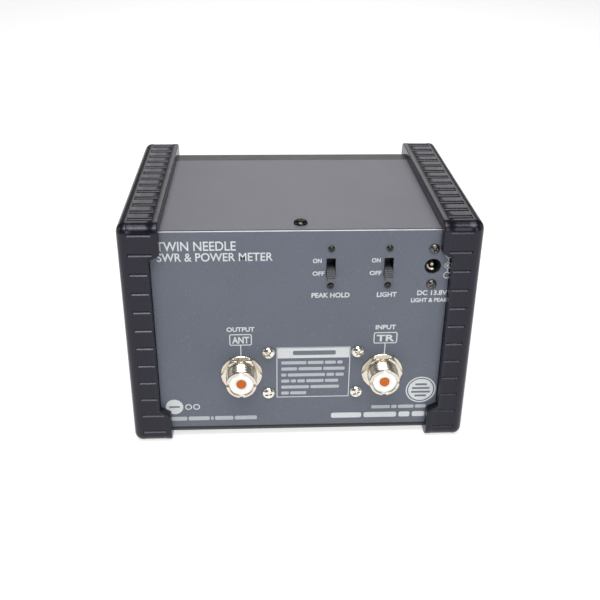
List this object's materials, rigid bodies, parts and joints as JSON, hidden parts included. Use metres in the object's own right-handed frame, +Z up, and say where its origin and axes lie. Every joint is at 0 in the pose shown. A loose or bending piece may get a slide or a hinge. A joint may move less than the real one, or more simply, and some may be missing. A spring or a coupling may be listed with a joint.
{
  "type": "SWR and power meter",
  "caption": "Bench cross-needle meter in a metal case with ribbed side bumpers, coaxial sockets, slide switches and a power inlet on its rear panel.",
  "frame": {"origin": "on the surface it stands on, under the middle of its bounding box", "axes": "+Z up, the meter face looks towards -Y, the rear panel towards +Y, and +X is to the right seen from the front"},
  "size_m": [0.179, 0.1456, 0.1274],
  "materials": {
    "panel_paint": "satin",
    "chassis_steel": "satin",
    "cover_paint": "fine texture",
    "bezel_plastic": "satin",
    "bumper_plastic": "satin",
    "black_screw": "satin",
    "zinc_screw": "satin",
    "coupler_metal": "satin",
    "nickel": "bright",
    "copper": "bright",
    "ferrite": "matte",
    "board": "satin",
    "board_part": "satin",
    "lead_cover": "satin",
    "white_insulator": "satin",
    "gold": "bright",
    "switch_metal": "satin",
    "control_plastic": "satin",
    "meter_plastic": "satin",
    "lens": "clear",
    "dial_paint": "matte",
    "lamp": "clear",
    "brass": "satin",
    "forward_needle_paint": "matte",
    "reflected_needle_paint": "matte",
    "spring_metal": "satin",
    "shaft_steel": "satin"
  },
  "bodies": {
    "case": {"rear_panel": "panel_paint", "chassis": "chassis_steel", "top_cover": "cover_paint", "front_bezel": "bezel_plastic", "bumper_left": "bumper_plastic", "bumper_right": "bumper_plastic", "bumper_screws": "black_screw", "cover_screw": "black_screw", "chassis_screws": "zinc_screw", "coupler_box": "coupler_metal", "coupler_lid": "coupler_metal", "coupler_screws": "nickel", "coupler_line": "copper", "coupler_core": "ferrite", "coupler_board": "board", "coupler_leads": "lead_cover", "ant_socket": "nickel", "ant_nut": "nickel", "ant_insulator": "white_insulator", "ant_contact": "gold", "tr_socket": "nickel", "tr_nut": "nickel", "tr_insulator": "white_insulator", "tr_contact": "gold", "hold_switch": "switch_metal", "light_switch": "switch_metal", "switch_screws": "black_screw", "dc_jack": "control_plastic", "dc_pin": "nickel", "dc_spring": "nickel", "dc_screws": "black_screw", "meter_case": "meter_plastic", "meter_lens": "lens", "meter_screws": "zinc_screw", "dial_plate": "dial_paint", "dial_lamps": "lamp", "forward_magnet": "ferrite", "forward_bridge": "brass", "forward_hairspring": "spring_metal", "reflected_magnet": "ferrite", "reflected_bridge": "brass", "reflected_hairspring": "spring_metal", "range_switch": "brass", "range_nut": "nickel", "pep_switch": "control_plastic", "main_board": "board", "board_parts": "board_part", "power_leads": "lead_cover"},
    "hold_slider": {"hold_slider": "control_plastic"},
    "light_slider": {"light_slider": "control_plastic"},
    "forward_pointer": {"forward_coil": "copper", "forward_needle": "forward_needle_paint"},
    "reflected_pointer": {"reflected_coil": "copper", "reflected_needle": "reflected_needle_paint"},
    "forward_zero": {"forward_zero_screw": "control_plastic"},
    "reflected_zero": {"reflected_zero_screw": "control_plastic"},
    "range_knob": {"range_shaft": "shaft_steel", "range_knob": "control_plastic"},
    "pep_button": {"pep_button": "control_plastic"}
  },
  "joints": [
    {"name": "hold_slide", "type": "slide", "parent": "case", "child": "hold_slider", "axis": [0, 0, 1], "range_m": [0, 0.0048]},
    {"name": "light_slide", "type": "slide", "parent": "case", "child": "light_slider", "axis": [0, 0, 1], "range_m": [0, 0.0048]},
    {"name": "forward_swing", "type": "hinge", "parent": "case", "child": "forward_pointer", "pos_m": [0.03, -0.04905, 0.0467], "axis": [0, 1, 0], "range_deg": [0, 52], "stiffness_Nm_per_rad": 0.0005},
    {"name": "reflected_swing", "type": "hinge", "parent": "case", "child": "reflected_pointer", "pos_m": [-0.03, -0.05205, 0.0467], "axis": [0, -1, 0], "range_deg": [0, 52], "stiffness_Nm_per_rad": 0.0005},
    {"name": "forward_zero_turn", "type": "hinge", "parent": "case", "child": "forward_zero", "pos_m": [0.03, -0.06005, 0.0332], "axis": [0, 1, 0], "range_deg": [-30, 30]},
    {"name": "reflected_zero_turn", "type": "hinge", "parent": "case", "child": "reflected_zero", "pos_m": [-0.03, -0.06005, 0.0332], "axis": [0, 1, 0], "range_deg": [-30, 30]},
    {"name": "range_turn", "type": "hinge", "parent": "case", "child": "range_knob", "pos_m": [0.04, -0.06505, 0.0212], "axis": [0, 1, 0], "range_deg": [0, 60]},
    {"name": "pep_press", "type": "slide", "parent": "case", "child": "pep_button", "axis": [0, 1, 0], "range_m": [0, 0.003], "stiffness_N_per_m": 400}
  ]
}
